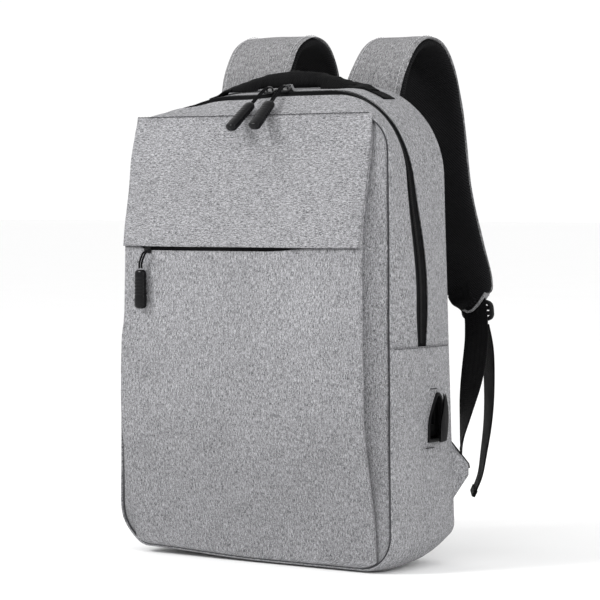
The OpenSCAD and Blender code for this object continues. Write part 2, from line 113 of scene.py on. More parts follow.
def mirrored(half):
    """A run from the middle to the right, carried on from the far left."""
    return np.vstack([half[::-1] * [-1, 1], half[1:]])


def lower_outline(r):
    right = np.vstack([
        line([0, r[2]], [r[0] - r[4], r[2]], 22),
        arc(r[0] - r[4], r[2] + r[4], r[4], -90, 0, 12)[1:],
        line([r[0], r[2] + r[4]], [side_x(r, SEAM_Z), SEAM_Z - 0.1], 52)[1:],
    ])
    return mirrored(right)


def upper_outline(r):
    right = np.vstack([
        line([0, r[3]], [r[1] - r[5], r[3]], 18),
        arc(r[1] - r[5], r[3] - r[5], r[5], 90, 0, 20)[1:],
        line([r[1], r[3] - r[5]], [side_x(r, SEAM_Z), SEAM_Z + 0.1], 26)[1:],
    ])
    return mirrored(right)[::-1]


def corner_w(r, inset, z):
    """Half width at height z of a ring drawn in by inset."""
    low, high = r[2] + r[4], r[3] - r[5]
    bottom = r[0] - r[4] + np.sqrt(np.clip((r[4] - inset) ** 2 - (low - z) ** 2, 0, None))
    top = r[1] - r[5] + np.sqrt(np.clip((r[5] - inset) ** 2 - (z - high) ** 2, 0, None))
    middle = mix(r[0], r[1], (z - low) / (high - low)) - inset
    return np.where(z < low, bottom, np.where(z > high, top, middle))


def flap_w(z):
    return mix(136, 131, z / FRONT_H)


def fold_w(z):
    return np.minimum(flap_w(z), corner_w(RING_FRONT, 3.6, z))


def swell_at(z):
    high = ease((404 - z) / 116)
    low = mix(0.02, 1, ease((z - 2) / 150))
    return 22 * np.where(z > 290, high, np.where(z > 150, 1, low))


def face_y_at(x, z):
    return FACE_Y - swell_at(z) * (1 - 0.04 * (x / 133) ** 2)


def spline(points, n):
    """Catmull-Rom curve through the given points, n steps to each stretch."""
    p = np.array(points, float)
    p = np.vstack([p[:1], p, p[-1:]])
    out = []
    for i in range(len(p) - 3):
        a, b, c, d = p[i : i + 4]
        for t in np.arange(n) / n:
            out.append(0.5 * (2 * b + (c - a) * t + (2 * a - 5 * b + 4 * c - d) * t**2
                              + (3 * b - a - 3 * c + d) * t**3))
    return np.array(out + [p[-2]])


def settle(points):
    """The soft shell as it stands: its left side leans in, and the cloth wanders a little."""
    p = np.array(points, float)
    flat = p.reshape(-1, 3)
    x, y, z = flat.T.copy()
    front = 1 - ease((y + 36) / 50)
    squeeze = np.interp(z, [290, 350, 380, 400], [1, 0.44, 0.17, 0.06])
    squeeze = mix(1, squeeze, front)
    beyond = np.clip(-x - 131, 0, None)
    flat[:, 0] = x + beyond * (1 - squeeze)
    flat[:, 0] -= 3.8 * ease((-x - 96) / 36) * ease((228 - z) / 34) * front
    flat[:, 0] -= 5 * ease((-x - 100) / 30) * np.exp(-(((z - 372) / 28) ** 2)) * front
    flat[:, 0] += 8 * ease((-x - 104) / 50) * ease((50 - z) / 50)
    flat[:, 2] += 4.4 * ease((-x + 10) / 140) * ease((50 - z) / 50)
    flat[:, 2] += 6 * ease((np.abs(x) - 96) / 50) * ease((y + 16) / 60) * ease((50 - z) / 50)
    slump = 2.2 * ease((25 - x) / 50) + 4.8 * np.exp(-(((x + 85) / 21) ** 2))
    flat[:, 2] -= slump * ease((z - 385) / 30) * ease((y + 39) / 16) * (1 - ease(y / 45))
    calm = ease((z - 4) / 40) * ease((428 - z) / 16 + 0.3)
    drift = np.array([noise.noise_vector(Vector(q / 75)) for q in flat])
    flat += drift * calm[:, None] * [0.6, 1.0, 0.3]
    return flat.reshape(p.shape)


# ======== Meshes from grids of points ========


def unit(v):
    return v / np.maximum(np.linalg.norm(v, axis=-1, keepdims=True), 1e-9)


def grid_normals(g):
    """A grid's outward side is row direction x column direction."""
    return unit(np.cross(np.gradient(g, axis=0), np.gradient(g, axis=1)))


def distances(path):
    """How far along a path each of its points is."""
    step = np.linalg.norm(np.diff(path, axis=0), axis=1)
    return np.concatenate([[0], np.cumsum(step)])


def run_length(g, axis):
    """How far each point of a grid is along a middle row or column."""
    return distances(g[:, g.shape[1] // 2] if axis == 0 else g[g.shape[0] // 2])


def make(name, points, faces, material, weave=None, smooth=50):
    """An object from points in millimetres. weave holds each point's place on the flat cloth."""
    mesh = bpy.data.meshes.new(name)
    points = np.asarray(points, float).reshape(-1, 3)
    mesh.from_pydata((points * MM).tolist(), [], faces)
    mesh.validate()
    mesh.shade_smooth()
    mesh.set_sharp_from_angle(angle=math.radians(smooth))
    weave = points if weave is None else np.asarray(weave, float).reshape(-1, 3)
    store = mesh.attributes.new("weave", "FLOAT_VECTOR", "POINT")
    store.data.foreach_set("vector", (weave * MM).astype(np.float32).ravel())
    mesh.materials.append(material)
    obj = bpy.data.objects.new(name, mesh)
    SCENE.collection.objects.link(obj)
    return obj


def grid_faces(m, n, closed=False, keep=None, start=0):
    faces = []
    for i in range(m - 1):
        for j in range(n if closed else n - 1):
            if keep is not None and not keep[i, j]:
                continue
            q = (j + 1) % n
            faces.append((start + i * n + j, start + (i + 1) * n + j,
                          start + (i + 1) * n + q, start + i * n + q))
    return faces


def cloth(name, g, material, thick=1.4, keep=None, ripple=0.0, turn=False):
    """A sheet of cloth on a grid. ripple roughens it, away from its edges."""
    m, n = g.shape[:2]
    across, along = run_length(g, 0), run_length(g, 1)
    edge = np.minimum(np.minimum(across, across[-1] - across)[:, None],
                      np.minimum(along, along[-1] - along)[None, :])
    if ripple:
        bump = np.array([noise.noise(Vector(q / 26)) + 0.5 * noise.noise(Vector(q / 11))
                         for q in g.reshape(-1, 3)]).reshape(m, n)
        g = g + grid_normals(g) * (bump * ripple * ease(edge / 14))[..., None]
    u, v = np.meshgrid(across, along, indexing="ij")
    flat = [v, u, u * 0] if turn else [u, v, u * 0]
    obj = make(name, g, grid_faces(m, n, keep=keep), material, np.stack(flat, -1))
    solid = obj.modifiers.new("thickness", "SOLIDIFY")
    solid.thickness = thick * MM
    solid.offset = -1
    return obj


def capped(g):
    """Points, side faces and end faces of a tube made of rings."""
    m, n = g.shape[:2]
    points = np.vstack([g.reshape(-1, 3), g[0].mean(0), g[-1].mean(0)])
    ends = []
    for k in range(n):
        q = (k + 1) % n
        ends += [(k, q, m * n), ((m - 1) * n + q, (m - 1) * n + k, m * n + 1)]
    return points, grid_faces(m, n, closed=True), ends


def swept(path, profile, side=(1, 0, 0), sizes=None):
    """Points, faces and weave of a flat profile [across, out] carried along a path.
    side is the across direction, one for all points or one for each."""
    path = np.array(path, float)
    along = unit(np.gradient(path, axis=0))
    across = np.broadcast_to(np.array(side, float), path.shape)
    across = unit(across - along * np.sum(across * along, -1, keepdims=True))
    out = np.cross(along, across)
    profile = np.array(profile, float)
    rings = []
    for i, p in enumerate(path):
        q = profile if sizes is None else profile * sizes[i]
        rings.append(p + q[:, :1] * across[i] + q[:, 1:] * out[i])
    points, sides, ends = capped(np.array(rings))
    u, v = np.meshgrid(distances(path), distances(profile), indexing="ij")
    weave = np.stack([v, u, u * 0], -1).reshape(-1, 3)
    return points, [f[::-1] for f in sides] + ends, np.vstack([weave, weave[:1], weave[-1:]])


def sweep(name, path, profile, material, side=(1, 0, 0)):
    points, faces, weave = swept(path, profile, side)
    return make(name, points, faces, material, weave)


def joined(name, parts, material, smooth=50):
    """One object from several (points, faces, weave) parts."""
    points, faces, weave, start = [], [], [], 0
    for p, f, w in parts:
        points.append(p)
        weave.append(w)
        faces += [tuple(i + start for i in q) for q in f]
        start += len(p)
    return make(name, np.vstack(points), faces, material, np.vstack(weave), smooth)


def round_profile(r, n=10):
    a = np.linspace(0, 2 * math.pi, n, endpoint=False)
    return np.column_stack([r * np.cos(a), r * np.sin(a)])


def band_profile(w, t, n=5):
    """A flat band's section w wide and t thick, with rounded edges."""
    a = np.radians(np.linspace(-90, 90, n))
    right = np.column_stack([w / 2 - t / 2 + t / 2 * np.cos(a), t / 2 * np.sin(a)])
    return np.vstack([right, -right])


def tube(name, path, r, material, sides=10, side=(0, 1, 0)):
    return sweep(name, path, round_profile(r, sides), material, side)


def stitches(name, path, out, material, pitch=3.6, length=2.5, r=0.32, lift=0.2):
    """A row of thread stitches along a path, on the side that out points to."""
    path = np.array(path, float)
    out = np.broadcast_to(np.array(out, float), path.shape)
    far = distances(path)
    parts = []
    for s in np.arange(0.6, far[-1] - length, pitch):
        t = s + np.linspace(0, length, 4)
        line_points = np.column_stack([np.interp(t, far, path[:, k]) for k in range(3)])
        away = np.column_stack([np.interp(t, far, out[:, k]) for k in range(3)])
        line_points += away * (lift + np.array([-0.3, 0.12, 0.12, -0.3]))[:, None]
        side = np.cross(line_points[-1] - line_points[0], away[0])
        parts.append(swept(line_points, round_profile(r, 6), side))
    return joined(name, parts, material)


def dress(piece, slot, *nodes):
    """Hides the CAD nodes that a piece stands for. slot, the record's slot that a piece takes its finish
    from, is not used.
    """
    if nodes:
        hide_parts(*nodes)


def place(piece, body, slot, *nodes):
    """The same for a piece that rides on one body."""
    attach(piece, body)
    dress(piece, slot, *nodes)


def turned(points, tilt, at):
    """Points of a part drawn upright, tilted about X and moved into place."""
    c, s = math.cos(math.radians(tilt)), math.sin(math.radians(tilt))
    p = np.asarray(points, float)
    return np.column_stack([p[:, 0], p[:, 1] * c - p[:, 2] * s, p[:, 1] * s + p[:, 2] * c]) + at


# ======== Materials ========


class Nodes:
    """A small helper that adds nodes to one material and links them."""

    def __init__(self, name, rough, **fixed):
        self.material = bpy.data.materials.new(name)
        self.material.use_nodes = True
        self.tree = self.material.node_tree
        self.shader = self.tree.nodes["Principled BSDF"]
        self.shader.inputs["Roughness"].default_value = rough
        for key, value in fixed.items():
            self.shader.inputs[key.replace("_", " ")].default_value = value

    def add(self, kind, inputs=(), out=0, **settings):
        node = self.tree.nodes.new("ShaderNode" + kind)
        for key, value in settings.items():
            setattr(node, key, value)
        for key, value in dict(inputs).items():
            if isinstance(value, bpy.types.NodeSocket):
                self.tree.links.new(value, node.inputs[key])
            else:
                node.inputs[key].default_value = value
        return node.outputs[out]

    def math(self, operation, a, b=0.0, c=0.0):
        return self.add("Math", {0: a, 1: b, 2: c}, operation=operation)

    def times(self, a, b):
        return self.math("MULTIPLY", a, b)

    def plus(self, a, b):
        return self.math("ADD", a, b)

    def sine(self, a):
        return self.math("SINE", a)

    def split(self, vector):
        node = self.tree.nodes.new("ShaderNodeSeparateXYZ")
        self.tree.links.new(vector, node.inputs[0])
        return node.outputs

    def weave(self):
        place = self.add("Attribute", out="Vector", attribute_name="weave")
        u, v, _ = self.split(place)
        return place, u, v

    def noise(self, vector, scale, detail=2.0, rough=0.5):
        inputs = {"Vector": vector, "Scale": scale, "Detail": detail, "Roughness": rough}
        return self.add("TexNoise", inputs)

    def vector(self, x, y, z=0.0):
        return self.add("CombineXYZ", {0: x, 1: y, 2: z})

    def ramp(self, value, stops):
        """stops are (position, colour), where a single number is a grey."""
        out = self.add("ValToRGB", {"Fac": value})
        bar = out.node.color_ramp
        while len(bar.elements) < len(stops):
            bar.elements.new(0.5)
        for element, (position, tone) in zip(bar.elements, stops):
            element.position = position
            element.color = (*tone, 1) if isinstance(tone, tuple) else (tone, tone, tone, 1)
        return out

    def blend(self, kind, factor, a, b):
        node = self.tree.nodes.new("ShaderNodeMix")
        node.data_type = "RGBA"
        node.blend_type = kind
        for index, value in ((0, factor), (6, a), (7, b)):
            if isinstance(value, bpy.types.NodeSocket):
                self.tree.links.new(value, node.inputs[index])
            elif index:
                node.inputs[index].default_value = (*value, 1)
            else:
                node.inputs[index].default_value = value
        return node.outputs[2]

    def colour(self, socket):
        self.tree.links.new(socket, self.shader.inputs["Base Color"])

    def rough(self, socket):
        self.tree.links.new(socket, self.shader.inputs["Roughness"])

    def bump(self, *layers):
        """layers are (height, distance in metres, strength), the coarsest first."""
        normal = None
        for height, distance, strength in layers:
            inputs = {"Height": height, "Distance": distance, "Strength": strength}
            if normal is not None:
                inputs["Normal"] = normal
            normal = self.add("Bump", inputs)
        self.tree.links.new(normal, self.shader.inputs["Normal"])


def shade(colour, k):
    return tuple(c * k for c in colour)


def melange(name, dark, light, foot=1.0, pitch=0.0009):
    """Two-tone oxford cloth: each thread changes tone along its own length.
    foot is the part of its tone that is left at the bottom: it darkens below 0.25 m, which is painted shade."""
    n = Nodes(name, 0.9, Sheen_Weight=0.05, Specular_IOR_Level=0.3)
    place, u, v = n.weave()
    tu, tv = n.math("DIVIDE", u, pitch), n.math("DIVIDE", v, pitch)
    fu, fv = n.math("FLOOR", tu), n.math("FLOOR", tv)
    over = n.math("MODULO", n.math("ABSOLUTE", n.plus(fu, fv)), 2.0)
    warp = n.noise(n.vector(n.times(fu, 7.31), n.times(v, 900.0)), 1.0, 2.0, 0.6)
    weft = n.noise(n.vector(n.times(u, 900.0), n.times(fv, 5.17), 9.0), 1.0, 2.0, 0.6)
    thread = n.add("Mix", {0: over, 2: warp, 3: weft}, data_type="FLOAT")
    slub = n.noise(n.vector(n.times(u, 1700.0), n.times(v, 270.0), 3.0), 1.0, 2.0, 0.7)
    streak = n.noise(n.vector(n.times(u, 800.0), n.times(v, 55.0), 7.0), 1.0, 1.0, 0.5)
    tone = n.plus(n.times(thread, 0.4), n.times(slub, 0.48))
    tone = n.plus(tone, n.times(streak, 0.12))
    middle = tuple(mix(a, b, 0.46) for a, b in zip(dark, light))
    threads = n.ramp(tone, [(0.39, dark), (0.5, middle), (0.61, light)])
    patch = n.noise(place, 14.0, 3.0)
    wear = n.ramp(patch, [(0.3, 0.93), (0.7, 1.05)])
    # painted shade: the colour darkens from 0.25 m down to 0.08 m, to foot of its tone
    height_up = n.split(n.add("TexCoord", out="Object"))[2]
    painted_low_shade = n.ramp(height_up, [(0.08, foot), (0.25, 1.0)])
    n.colour(n.blend("MULTIPLY", 1.0, n.blend("MULTIPLY", 1.0, threads, wear), painted_low_shade))
    hump_u = n.sine(n.times(n.math("FRACT", tu), math.pi))
    hump_v = n.sine(n.times(n.math("FRACT", tv), math.pi))
    height = n.add("Mix", {0: over, 2: hump_u, 3: hump_v}, data_type="FLOAT")
    crease = n.noise(place, 60.0, 3.0)
    n.bump((crease, 0.0012, 0.35), (height, 0.00022, 0.7))
    return n.material


def spacer_mesh(name, colour, pitch=0.0031):
    """Open air mesh: round holes in staggered rows on a soft ground, with painted shade in the holes."""
    n = Nodes(name, 0.9, Specular_IOR_Level=0.08)
    place, u, v = n.weave()
    a = n.times(n.plus(u, v), 2 * math.pi / pitch / 1.25)
    b = n.times(n.math("SUBTRACT", u, v), 2 * math.pi / pitch / 2.0)
    cell = n.times(n.sine(a), n.sine(b))
    hole = n.math("SMOOTH_MIN", n.math("ABSOLUTE", cell), 0.8, 0.3)
    # painted shade: the holes are coloured darker than the ground round them
    painted_hole_shade = n.ramp(hole, [(0.15, shade(colour, 2.6)), (0.75, shade(colour, 0.25))])
    patch = n.noise(place, 25.0, 3.0)
    n.colour(n.blend("MULTIPLY", 0.5, painted_hole_shade, n.ramp(patch, [(0.3, 0.7), (0.7, 1.3)])))
    n.bump((patch, 0.002, 0.3), (hole, -0.0009, 0.9))
    return n.material


def webbing(name, colour, pitch=0.0021):
    """Ribbed black webbing, with a chevron in the ribs and a worn sheen."""
    n = Nodes(name, 0.62, Specular_IOR_Level=0.05)
    place, u, v = n.weave()
    fold = n.math("ABSOLUTE", n.math("SUBTRACT", n.math("FRACT", n.math("DIVIDE", u, 0.006)), 0.5))
    rib = n.sine(n.times(n.plus(v, n.times(fold, 0.004)),
                                2 * math.pi / pitch))
    fine = n.sine(n.times(u, 2 * math.pi / 0.0012))
    height = n.plus(rib, n.times(fine, 0.4))
    fibre = n.noise(n.vector(n.times(u, 1500.0), n.times(v, 200.0)), 1.0, 3.0)
    n.colour(n.ramp(fibre, [(0.3, shade(colour, 0.6)), (0.7, shade(colour, 2.0))]))
    n.rough(n.ramp(n.noise(place, 40.0), [(0.3, 0.55), (0.7, 0.75)]))
    n.bump((height, 0.00025, 0.8))
    return n.material


def moulded(name, colour, rough, metal=0.0, speckle=900.0, depth=0.00006, shine=0.15):
    """Moulded plastic, rubber or painted metal with a fine grain and handling marks."""
    n = Nodes(name, rough, Metallic=metal, Specular_IOR_Level=shine)
    place = n.weave()[0]
    grain = n.noise(place, speckle, 2.0)
    marks = n.noise(place, 90.0, 4.0, 0.7)
    n.colour(n.ramp(marks, [(0.3, colour), (0.75, shade(colour, 1.5))]))
    n.rough(n.ramp(marks, [(0.3, rough - 0.06), (0.75, rough + 0.1)]))
    n.bump((grain, depth, 0.5))
    return n.material


def plain_cloth(name, colour, pitch=0.0007):
    """Thin dark lining with a fine square weave."""
    n = Nodes(name, 0.7, Sheen_Weight=0.1)
    place, u, v = n.weave()
    wave = n.times(n.sine(n.times(u, 2 * math.pi / pitch)),
                  n.sine(n.times(v, 2 * math.pi / pitch)))
    cloud = n.noise(place, 30.0, 4.0)
    n.colour(n.ramp(cloud, [(0.3, shade(colour, 0.85)), (0.7, shade(colour, 1.2))]))
    n.bump((cloud, 0.003, 0.3), (wave, 0.00012, 0.6))
    return n.material


# the front cloth carries painted shade towards its bottom, down to 0.84 of its tone
FABRIC = melange("melange_fabric", (0.046, 0.046, 0.05), (0.482, 0.482, 0.5), foot=0.84)
SIDE = melange("side_fabric", (0.042, 0.042, 0.046), (0.485, 0.485, 0.502))
# the straps' cloth is this melange at about 0.8 of its tone: painted shade on the straps
STRAP = melange("shaded_strap_fabric", (0.036, 0.036, 0.038), (0.39, 0.388, 0.398))
LINING = plain_cloth("lining_fabric", (0.055, 0.057, 0.062))
MESH = spacer_mesh("mesh_black", (0.006, 0.006, 0.0065))
PADDED = webbing("handle_cloth", (0.003, 0.003, 0.0033), 0.0016)
WEBBING = webbing("webbing_black", (0.0035, 0.0035, 0.0038))
ZIP = webbing("zip_black", (0.0045, 0.0045, 0.005), 0.0011)
COIL = moulded("zip_coil", (0.006, 0.006, 0.0065), 0.42)
METAL = moulded("slider_metal", (0.02, 0.02, 0.021), 0.28, metal=0.6, shine=0.4)
RUBBER = moulded("rubber_black", (0.003, 0.003, 0.0035), 0.24, speckle=1500.0, shine=0.14)
PLASTIC = moulded("plastic_black", (0.006, 0.006, 0.0065), 0.42, shine=0.12)
HOOD = moulded("hood_rubber", (0.004, 0.004, 0.0045), 0.55, shine=0.04)
THREAD = moulded("dark_thread", (0.03, 0.03, 0.033), 0.7)
PALE_THREAD = moulded("grey_thread", (0.42, 0.42, 0.43), 0.7)

# ======== Camera, light and floor ========

camera = bpy.data.objects.new("camera", bpy.data.cameras.new("camera"))
camera.data.lens, camera.data.sensor_width = 156, 36
camera.location = (1.3923, -1.9531, 0.3267)
aim = Vector((0.0166, 0.0116, 0.2388)) - camera.location
camera.rotation_mode = "QUATERNION"
camera.rotation_quaternion = aim.to_track_quat("-Z", "Y")
SCENE.collection.objects.link(camera)
SCENE.camera = camera


def softbox(name, place, aim_at, size, power):
    lamp = bpy.data.objects.new(name, bpy.data.lights.new(name, "AREA"))
    lamp.data.size, lamp.data.energy = size, power
    lamp.location = place
    lamp.rotation_mode = "QUATERNION"
    lamp.rotation_quaternion = (Vector(aim_at) - Vector(place)).to_track_quat("-Z", "Y")
    SCENE.collection.objects.link(lamp)


softbox("key", (-1.5, -2.3, 2.1), (0, 0, 0.22), 0.9, 62)
softbox("fill", (3.0, -1.2, 1.6), (0, 0, 0.2), 2.0, 30)

world = bpy.data.worlds.new("studio")
world.use_nodes = True
world.node_tree.nodes["Background"].inputs["Color"].default_value = (1, 1, 1, 1)
world.node_tree.nodes["Background"].inputs["Strength"].default_value = 1.02
SCENE.world = world
SCENE.view_settings.view_transform = "Standard"

FLOOR = Nodes("floor_paper", 0.9)
floor_tone = FLOOR.noise(FLOOR.add("TexCoord", out="Object"), 3.0, 3.0)
FLOOR.colour(FLOOR.ramp(floor_tone, [(0.3, 0.95), (0.7, 0.96)]))
floor_size = 40000
corners = [(s * floor_size, t * floor_size, -0.2) for s, t in ((-1, -1), (1, -1), (1, 1), (-1, 1))]
floor = make("floor", corners, [(0, 1, 2, 3)], FLOOR.material)

# ======== The shell ========


def run_at(k, inset, extra, outline):
    """The outline at depth k as points, moved back by extra."""
    x, z = outline(ring(k, inset)).T
    return np.column_stack([x, depth_y(k, z) + extra, z])


def loft(rows, outline):
    """Rows are (depth, inset, extra y). The rows run back, so that outside is outward."""
    return np.array([run_at(*row, outline) for row in rows])


PORT_X, PORT_Y, PORT_Z = 152, 31.5, 135.5
# the port's outline, back and up from its middle: a fin with a flat foot
PORT = spline([(-14, -22), (-13.3, -10), (-12, -1), (-7, 9), (-1.5, 18.5), (1.5, 22), (4.5, 21.6),
               (8.2, 17.5), (11.5, 9), (13, 0), (13.3, -14), (12.4, -20), (10, -22), (0, -22.2),
               (-12, -22.2)], 4)


def inside_port(y, z):
    """Which points lie within the port's outline: an odd number of its edges is to their right."""
    inside = np.zeros(np.shape(y), bool)
    for (a, b), (c, d) in zip(PORT, np.roll(PORT, -1, axis=0)):
        if b != d:
            inside ^= ((b > z) != (d > z)) & (y < (c - a) * (z - b) / (d - b) + a)
    return inside


FRONT_ROLL = [(0, 2.6, -1.9), (0, 1.2, -1.7), (0, 0.3, -0.8)]
BACK_ROLL = [(2, 0.3, 0.6), (2, 1.2, 1.4), (2, 2.6, 1.6)]
UNDER = [(k, 0, 0) for k in np.linspace(0, 2, 34)]

shell = settle(loft(FRONT_ROLL + UNDER[1:-1] + BACK_ROLL, lower_outline))
centre = (shell[:-1, :-1] + shell[1:, 1:]) / 2
port = (centre[..., 0] > 140) & inside_port(centre[..., 1] - PORT_Y, centre[..., 2] - PORT_Z)
lower_shell = cloth("lower_shell", shell, SIDE, 2.4, keep=~port, ripple=0.5)
place(lower_shell, "root", "side_fabric", "side_panel_left", "side_panel_right", "bottom_panel")

DEPTHS = np.linspace(0, 2, 81)
OVER = loft([(k, 0, 0) for k in DEPTHS], upper_outline)


def zip_w(z):
    """Half width of the zip band: broad down the sides and narrow over the top."""
    return 5.5 + 4.5 * ease((390 - z) / 110) - 2.5 * ease((230 - z) / 30)


def over_at(k):
    """Points over the top, each at its own depth k."""
    k = np.broadcast_to(k, OVER.shape[1:2])
    i = np.minimum((k * 40).astype(int), 79)
    t = (k * 40 - i)[:, None]
    j = np.arange(len(k))
    return OVER[i, j] * (1 - t) + OVER[i + 1, j] * t


def band_edge(side, more=0.0):
    """Depth at which the zip band ends in front of (-1) or behind (1) the zip."""
    z = OVER[40, :, 2]
    room = zip_y(z) - FRONT_Y if side < 0 else back_y(z) - zip_y(z)
    return 1 + side * (zip_w(z) + more) / room


g = np.vstack([loft(FRONT_ROLL, upper_outline),
               [over_at(t * band_edge(-1)) for t in np.linspace(0.04, 1, 14)]])
hem = g[-1] - grid_normals(g)[-1] * 1.5 - [0, 0.4, 0]
front_gusset = cloth("front_gusset", settle(np.vstack([g, [hem]])), SIDE, 2.2, ripple=0.45)
place(front_gusset, "front_lid", "side_fabric", "front_gusset")

g = np.vstack([[over_at(mix(band_edge(1), 2, t)) for t in np.linspace(0, 0.97, 15)],
               loft(BACK_ROLL, upper_outline)])
hem = g[0] - grid_normals(g)[0] * 1.5 + [0, 0.4, 0]
g = np.vstack([[hem], g])
# beside the sliders the cloth is pushed up a little
pucker = ease((g[..., 0] + 14) / 34) * (1 - ease((g[..., 0] - 20) / 2)) * (g[..., 2] > 400)
g[..., 2] += pucker * np.array([7, 6.6, 3.4, 1.2] + [0] * (len(g) - 4))[:, None]
rear_gusset = cloth("rear_gusset", settle(g), SIDE, 2.2, ripple=0.45)
place(rear_gusset, "root", "side_fabric", "rear_gusset")

# ---- the front pocket with its folded sides, and the flap over its top ----

FOLD = np.radians([8, 30, 55, 80])


def across_front(z, proud, pleated):
    """A row of points over the front from the right end to the left, at height z."""
    f, s = float(fold_w(z)) if pleated else float(flap_w(z)), float(swell_at(z))
    y_fold = float(face_y_at(f, z)) - proud
    r = min(2.2, 0.5 * (s + proud) + 0.3)
    back = float(corner_w(RING_FRONT, 2.8, z))
    right = []
    if pleated:
        foot = (max(f, back), FACE_Y + 1.5)
        waist = (f - 0.3 * s, FACE_Y + 2.4 - 0.6 * s)
        edge = (f, y_fold + r)
        for t in np.linspace(0, 1, 7)[:-1]:
            bow = 1.1 * math.sin(math.pi * t) * s / 22
            right.append((mix(foot[0], waist[0], t) + bow, mix(foot[1], waist[1], t) - bow))
        for t in np.linspace(0, 1, 5)[:-1]:
            right.append((mix(waist[0], edge[0], ease(t)), mix(waist[1], edge[1], t)))
    else:
        for t in np.linspace(1, 0, 4):
            right.append((f - 2.4 * t, y_fold + r + 2.6 * t))
    right += [(f - r + r * math.cos(a), y_fold + r - r * math.sin(a)) for a in FOLD]
    x = np.linspace(f - r, -(f - r), 48)
    over = [(q, float(face_y_at(q, z)) - proud) for q in x]
    left = [(-a, b) for a, b in right[::-1]]
    return [(a, b, z) for a, b in right + over + left]


def heights(lo, hi, step):
    """Heights between lo and hi, closer together at both ends."""
    n = int((hi - lo) / step)
    t = np.linspace(0, 1, n + 1)
    return mix(lo, hi, t + 0.09 * np.sin(2 * math.pi * -t))


pocket_z = np.concatenate([heights(4.4, 284.5, 4.5), np.arange(288, 405, 4.5)])
g = settle(np.array([across_front(z, 0, True) for z in pocket_z]))
columns = g.shape[1]
folds = 6 + 4 + 4
# the mouth of the pocket closes towards its right end, and beyond the slider
x = g[..., 0]
rise = 0.2 + 3.5 * ease((x - 30) / 56) + 3.3 * ease((-x - 106) / 6)
mouth = (g[..., 2] > 240) & (g[..., 2] < 286)
g[..., 2] += np.where(mouth, rise * ease((g[..., 2] - 240) / 44), 0)
keep = np.ones((len(pocket_z) - 1, columns - 1), bool)
above = pocket_z[1:] > 286
keep[np.ix_(above, np.arange(folds - 2, columns - folds + 1))] = False
pocket = cloth("pocket_front", g, FABRIC, 1.4, keep=keep, ripple=0.4, turn=True)
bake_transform(pocket)
dress(pocket, "melange_fabric", "pocket_panel_lower", "pocket_panel_upper", "pleat_lower_left",
            "pleat_lower_right", "pleat_upper_left", "pleat_upper_right")

flap_z = heights(SLIT_Z - 0.6, 407.6, 4.2)
proud = 2.6 - 1.9 * ease((flap_z - 392) / 15)
g = settle(np.array([across_front(z, p, False) for z, p in zip(flap_z, proud)]))
lip = ease((SLIT_Z + 6 - g[..., 2]) / 7)
g[..., 1] -= lip * 0.5
flap = cloth("flap_front", g, FABRIC, 1.6, ripple=0.4)
place(flap, "front_lid", "melange_fabric", "flap_panel")

x = np.linspace(117, -117, 40)
g = np.array([np.column_stack([x, face_y_at(x, z) + off, np.full(40, z)])
              for z, off in ((279, 1.5), (284, 1.0), (289, 0.4), (296, 0.2), (301, 0.6))])
tape = cloth("pocket_zip_tape", g, ZIP, 0.8)
place(tape, "front_lid", "zip_black", "pocket_zip_tape")

# ---- seams round the front and the back ----


def seam_path(k, inset, extra):
    """A closed line round the whole outline at depth k."""
    low = settle(run_at(k, inset, extra, lower_outline))
    high = settle(run_at(k, inset, extra, upper_outline))
    return np.vstack([low, high[1:-1], low[:1]])


whole = seam_path(0, 2.6, -1.9)
whole[:, 0] += 2.4 * ease((-whole[:, 0] - 112) / 16) * ease((200 - whole[:, 2]) / 30)
# a dark cord in the front seam's groove: partly the seam's dark thread, partly painted shade of the groove
front_seam = tube("front_seam", whole, 0.7, THREAD, 8)
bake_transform(front_seam)
dress(front_seam, "zip_black", "front_piping_lower", "front_piping_upper")

x = np.linspace(-130.5, 130.5, 60)
edge = np.column_stack([x, np.full(60, FACE_Y - 1.1), np.full(60, 407.9)])
flap_seam = stitches("flap_seam", settle(edge), (0, -0.7, 0.7), THREAD, pitch=3.6, length=3.0, r=0.35)
place(flap_seam, "front_lid", "zip_black")

back_seam = tube("back_piping", seam_path(2, 2.4, 1.7), 1.6, SIDE)
place(back_seam, "root", "side_fabric", "back_piping")

# the seam across each side at the zip's end, sewn with dark thread
for side, word in SIDES:
    k = np.linspace(0.04, 1.97, 60)
    edge = np.array([[side * (side_x(ring(q), SEAM_Z) + 0.2), depth_y(q, SEAM_Z), SEAM_Z - 0.8] for q in k])
    row = stitches("side_stitches_" + word, settle(edge), (side, 0, 0), THREAD, pitch=4.4, length=3.2, r=0.3)
    place(row, "root", "zip_black")

# ---- main zip: two tapes, and a coil of teeth on each ----


for word, body, side in (("rear", "root", 1), ("front", "front_lid", -1)):
    level = [over_at(1.0) + [0, side * d, 0] for d in (0.15, 1.3, 2.6)]
    rows = np.array(level + [over_at(mix(1, band_edge(side, 1.6), t)) for t in (0.5, 0.8, 1)])
    rows = rows if side > 0 else rows[::-1]
    rows = rows - grid_normals(rows) * 1.2
    band = cloth("zip_tape_" + word, settle(rows), ZIP, 0.8, ripple=0.25)
    place(band, body, "zip_black", "zip_tape_" + word)
    run = over_at(1.0) + [0, side * 0.95, 0]
    normal = unit(run * [1, 0, 1] - [0, 0, 250])
    run = settle(run) - normal * 0.9
    far = distances(run)
    spots = np.arange(3, far[-1] - 3, 1.7) + (0 if side > 0 else 0.85)
    places = np.column_stack([np.interp(spots, far, run[:, i]) for i in range(3)])
    ups = np.column_stack([np.interp(spots, far, normal[:, i]) for i in range(3)])
    parts = []
    for p, n in zip(places, ups):
        tooth = np.array([p - [0, 0.8, 0], p + [0, 0.8, 0]])
        parts.append(swept(tooth, round_profile(0.5, 5), n))
    coil = joined("zip_coil_" + word, parts, COIL)
    place(coil, body, "zip_black")

# ---- back panel and its pads ----

